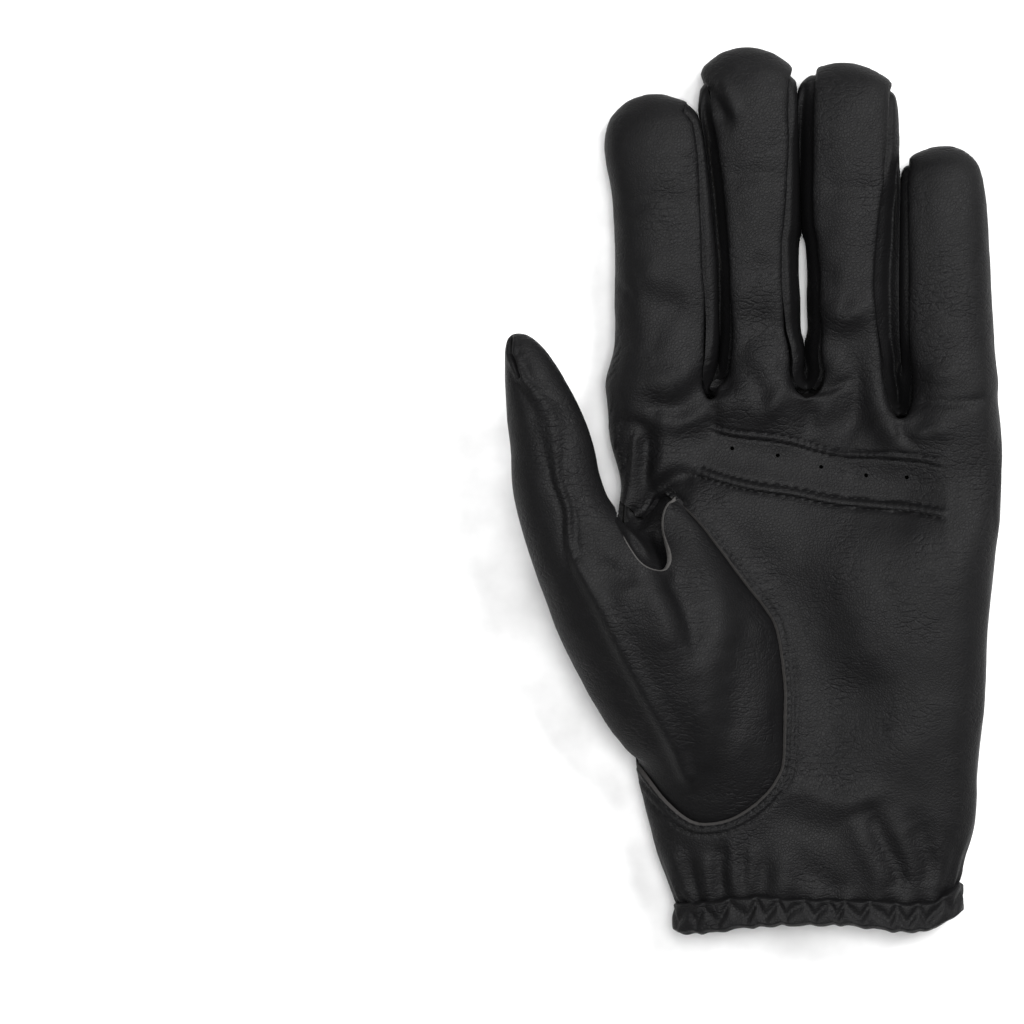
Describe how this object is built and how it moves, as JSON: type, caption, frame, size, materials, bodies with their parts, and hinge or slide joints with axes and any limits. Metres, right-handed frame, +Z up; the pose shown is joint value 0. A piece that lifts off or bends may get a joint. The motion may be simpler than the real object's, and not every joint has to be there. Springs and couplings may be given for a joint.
{
  "type": "driving glove",
  "caption": "Left-hand black leather driving glove lying palm up, with forked finger strips, inset thumb, raised welts, vent holes and a gathered cuff.",
  "frame": {"origin": "centre of the footprint, on the surface the glove lies on", "axes": "+Y from the wrist to the fingertips, +Z up out of the palm, +X towards the little finger, the thumb at -X"},
  "size_m": [0.1324, 0.2354, 0.0396],
  "materials": {
    "palm_leather": "smooth fine-grain black leather, soft sheen",
    "back_leather": "smooth fine-grain black leather, soft sheen",
    "strip_leather": "thin black leather, matter",
    "thumb_leather": "smooth fine-grain black leather, puckered at the seam",
    "hem_leather": "gathered black leather with zigzag thread"
  },
  "bodies": {
    "root": {"palm_panel": "palm_leather", "back_panel": "back_leather", "fourchette_index_middle": "strip_leather", "fourchette_middle_ring": "strip_leather", "fourchette_ring_little": "strip_leather", "thumb": "thumb_leather", "thumb_gusset": "strip_leather", "cuff_hem": "hem_leather"}
  },
  "joints": []
}
